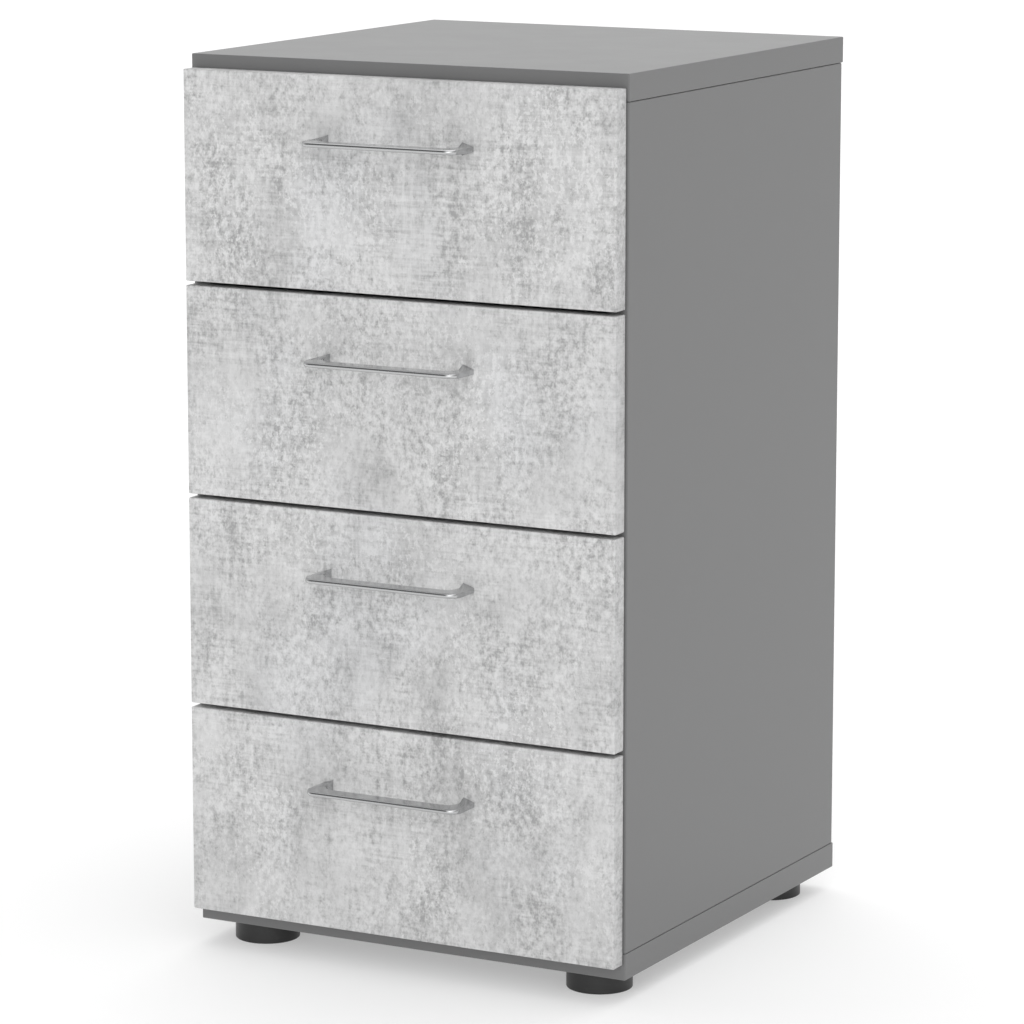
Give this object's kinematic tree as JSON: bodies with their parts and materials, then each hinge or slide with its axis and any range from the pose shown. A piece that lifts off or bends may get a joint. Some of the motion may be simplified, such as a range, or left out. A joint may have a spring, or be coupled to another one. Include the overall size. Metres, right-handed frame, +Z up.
{
  "type": "drawer chest",
  "caption": "Free-standing office drawer chest with a plain board carcass on round feet, overlay fronts with bow handles and drawers on roller runners.",
  "frame": {"origin": "on the floor, under the middle of the bounding box with the handles", "axes": "+X to the right along the width as seen from the front, -Y towards the front and the handles, +Z up"},
  "size_m": [0.4, 0.4538, 0.7485],
  "materials": {
    "graphite_board": "matt graphite melamine on chipboard",
    "concrete_board": "matt light concrete decor melamine on chipboard",
    "box_board": "satin light grey foil on chipboard",
    "hardboard": "satin light grey lacquer on hardboard",
    "chrome": "polished",
    "black_plastic": "fine matt",
    "rail_steel": "smooth epoxy coat",
    "roller_nylon": "smooth"
  },
  "bodies": {
    "carcass": {"top_panel": "graphite_board", "bottom_panel": "graphite_board", "side_panel_left": "graphite_board", "side_panel_right": "graphite_board", "back_panel": "graphite_board", "foot_front_left": "black_plastic", "foot_front_right": "black_plastic", "foot_rear_left": "black_plastic", "foot_rear_right": "black_plastic", "cabinet_rail_1_left": "rail_steel", "cabinet_rail_1_right": "rail_steel", "cabinet_rail_2_left": "rail_steel", "cabinet_rail_2_right": "rail_steel", "cabinet_rail_3_left": "rail_steel", "cabinet_rail_3_right": "rail_steel", "cabinet_rail_4_left": "rail_steel", "cabinet_rail_4_right": "rail_steel"},
    "drawer_1": {"drawer_1_front": "concrete_board", "drawer_1_handle": "chrome", "drawer_1_box": "box_board", "drawer_1_bottom": "hardboard", "drawer_1_rail_left": "rail_steel", "drawer_1_rail_right": "rail_steel"},
    "drawer_2": {"drawer_2_front": "concrete_board", "drawer_2_handle": "chrome", "drawer_2_box": "box_board", "drawer_2_bottom": "hardboard", "drawer_2_rail_left": "rail_steel", "drawer_2_rail_right": "rail_steel"},
    "drawer_3": {"drawer_3_front": "concrete_board", "drawer_3_handle": "chrome", "drawer_3_box": "box_board", "drawer_3_bottom": "hardboard", "drawer_3_rail_left": "rail_steel", "drawer_3_rail_right": "rail_steel"},
    "drawer_4": {"drawer_4_front": "concrete_board", "drawer_4_handle": "chrome", "drawer_4_box": "box_board", "drawer_4_bottom": "hardboard", "drawer_4_rail_left": "rail_steel", "drawer_4_rail_right": "rail_steel"},
    "cabinet_roller_1_left": {"cabinet_roller_1_left": "roller_nylon"},
    "drawer_1_roller_left": {"drawer_1_roller_left": "roller_nylon"},
    "cabinet_roller_1_right": {"cabinet_roller_1_right": "roller_nylon"},
    "drawer_1_roller_right": {"drawer_1_roller_right": "roller_nylon"},
    "cabinet_roller_2_left": {"cabinet_roller_2_left": "roller_nylon"},
    "drawer_2_roller_left": {"drawer_2_roller_left": "roller_nylon"},
    "cabinet_roller_2_right": {"cabinet_roller_2_right": "roller_nylon"},
    "drawer_2_roller_right": {"drawer_2_roller_right": "roller_nylon"},
    "cabinet_roller_3_left": {"cabinet_roller_3_left": "roller_nylon"},
    "drawer_3_roller_left": {"drawer_3_roller_left": "roller_nylon"},
    "cabinet_roller_3_right": {"cabinet_roller_3_right": "roller_nylon"},
    "drawer_3_roller_right": {"drawer_3_roller_right": "roller_nylon"},
    "cabinet_roller_4_left": {"cabinet_roller_4_left": "roller_nylon"},
    "drawer_4_roller_left": {"drawer_4_roller_left": "roller_nylon"},
    "cabinet_roller_4_right": {"cabinet_roller_4_right": "roller_nylon"},
    "drawer_4_roller_right": {"drawer_4_roller_right": "roller_nylon"}
  },
  "joints": [
    {"name": "drawer_1_slide", "type": "slide", "parent": "carcass", "child": "drawer_1", "axis": [0, -1, 0], "range_m": [0, 0.265]},
    {"name": "drawer_2_slide", "type": "slide", "parent": "carcass", "child": "drawer_2", "axis": [0, -1, 0], "range_m": [0, 0.265]},
    {"name": "drawer_3_slide", "type": "slide", "parent": "carcass", "child": "drawer_3", "axis": [0, -1, 0], "range_m": [0, 0.265]},
    {"name": "drawer_4_slide", "type": "slide", "parent": "carcass", "child": "drawer_4", "axis": [0, -1, 0], "range_m": [0, 0.265]},
    {"name": "cabinet_roller_1_left_spin", "type": "hinge", "parent": "carcass", "child": "cabinet_roller_1_left", "pos_m": [-0.17775, -0.1641, 0.5881], "axis": [1, 0, 0], "continuous": true},
    {"name": "drawer_1_roller_left_spin", "type": "hinge", "parent": "drawer_1", "child": "drawer_1_roller_left", "pos_m": [-0.17775, 0.1599, 0.5874], "axis": [1, 0, 0], "continuous": true},
    {"name": "cabinet_roller_1_right_spin", "type": "hinge", "parent": "carcass", "child": "cabinet_roller_1_right", "pos_m": [0.17775, -0.1641, 0.5881], "axis": [1, 0, 0], "continuous": true},
    {"name": "drawer_1_roller_right_spin", "type": "hinge", "parent": "drawer_1", "child": "drawer_1_roller_right", "pos_m": [0.17775, 0.1599, 0.5874], "axis": [1, 0, 0], "continuous": true},
    {"name": "cabinet_roller_2_left_spin", "type": "hinge", "parent": "carcass", "child": "cabinet_roller_2_left", "pos_m": [-0.17775, -0.1641, 0.4109], "axis": [1, 0, 0], "continuous": true},
    {"name": "drawer_2_roller_left_spin", "type": "hinge", "parent": "drawer_2", "child": "drawer_2_roller_left", "pos_m": [-0.17775, 0.1599, 0.4102], "axis": [1, 0, 0], "continuous": true},
    {"name": "cabinet_roller_2_right_spin", "type": "hinge", "parent": "carcass", "child": "cabinet_roller_2_right", "pos_m": [0.17775, -0.1641, 0.4109], "axis": [1, 0, 0], "continuous": true},
    {"name": "drawer_2_roller_right_spin", "type": "hinge", "parent": "drawer_2", "child": "drawer_2_roller_right", "pos_m": [0.17775, 0.1599, 0.4102], "axis": [1, 0, 0], "continuous": true},
    {"name": "cabinet_roller_3_left_spin", "type": "hinge", "parent": "carcass", "child": "cabinet_roller_3_left", "pos_m": [-0.17775, -0.1641, 0.2337], "axis": [1, 0, 0], "continuous": true},
    {"name": "drawer_3_roller_left_spin", "type": "hinge", "parent": "drawer_3", "child": "drawer_3_roller_left", "pos_m": [-0.17775, 0.1599, 0.233], "axis": [1, 0, 0], "continuous": true},
    {"name": "cabinet_roller_3_right_spin", "type": "hinge", "parent": "carcass", "child": "cabinet_roller_3_right", "pos_m": [0.17775, -0.1641, 0.2337], "axis": [1, 0, 0], "continuous": true},
    {"name": "drawer_3_roller_right_spin", "type": "hinge", "parent": "drawer_3", "child": "drawer_3_roller_right", "pos_m": [0.17775, 0.1599, 0.233], "axis": [1, 0, 0], "continuous": true},
    {"name": "cabinet_roller_4_left_spin", "type": "hinge", "parent": "carcass", "child": "cabinet_roller_4_left", "pos_m": [-0.17775, -0.1641, 0.0565], "axis": [1, 0, 0], "continuous": true},
    {"name": "drawer_4_roller_left_spin", "type": "hinge", "parent": "drawer_4", "child": "drawer_4_roller_left", "pos_m": [-0.17775, 0.1599, 0.0558], "axis": [1, 0, 0], "continuous": true},
    {"name": "cabinet_roller_4_right_spin", "type": "hinge", "parent": "carcass", "child": "cabinet_roller_4_right", "pos_m": [0.17775, -0.1641, 0.0565], "axis": [1, 0, 0], "continuous": true},
    {"name": "drawer_4_roller_right_spin", "type": "hinge", "parent": "drawer_4", "child": "drawer_4_roller_right", "pos_m": [0.17775, 0.1599, 0.0558], "axis": [1, 0, 0], "continuous": true}
  ],
  "couplings": [
    {"joint": "cabinet_roller_1_left_spin", "follows": "drawer_1_slide", "rad_per_m": 111.11},
    {"joint": "drawer_1_roller_left_spin", "follows": "drawer_1_slide", "rad_per_m": 111.11},
    {"joint": "cabinet_roller_1_right_spin", "follows": "drawer_1_slide", "rad_per_m": 111.11},
    {"joint": "drawer_1_roller_right_spin", "follows": "drawer_1_slide", "rad_per_m": 111.11},
    {"joint": "cabinet_roller_2_left_spin", "follows": "drawer_2_slide", "rad_per_m": 111.11},
    {"joint": "drawer_2_roller_left_spin", "follows": "drawer_2_slide", "rad_per_m": 111.11},
    {"joint": "cabinet_roller_2_right_spin", "follows": "drawer_2_slide", "rad_per_m": 111.11},
    {"joint": "drawer_2_roller_right_spin", "follows": "drawer_2_slide", "rad_per_m": 111.11},
    {"joint": "cabinet_roller_3_left_spin", "follows": "drawer_3_slide", "rad_per_m": 111.11},
    {"joint": "drawer_3_roller_left_spin", "follows": "drawer_3_slide", "rad_per_m": 111.11},
    {"joint": "cabinet_roller_3_right_spin", "follows": "drawer_3_slide", "rad_per_m": 111.11},
    {"joint": "drawer_3_roller_right_spin", "follows": "drawer_3_slide", "rad_per_m": 111.11},
    {"joint": "cabinet_roller_4_left_spin", "follows": "drawer_4_slide", "rad_per_m": 111.11},
    {"joint": "drawer_4_roller_left_spin", "follows": "drawer_4_slide", "rad_per_m": 111.11},
    {"joint": "cabinet_roller_4_right_spin", "follows": "drawer_4_slide", "rad_per_m": 111.11},
    {"joint": "drawer_4_roller_right_spin", "follows": "drawer_4_slide", "rad_per_m": 111.11}
  ]
}
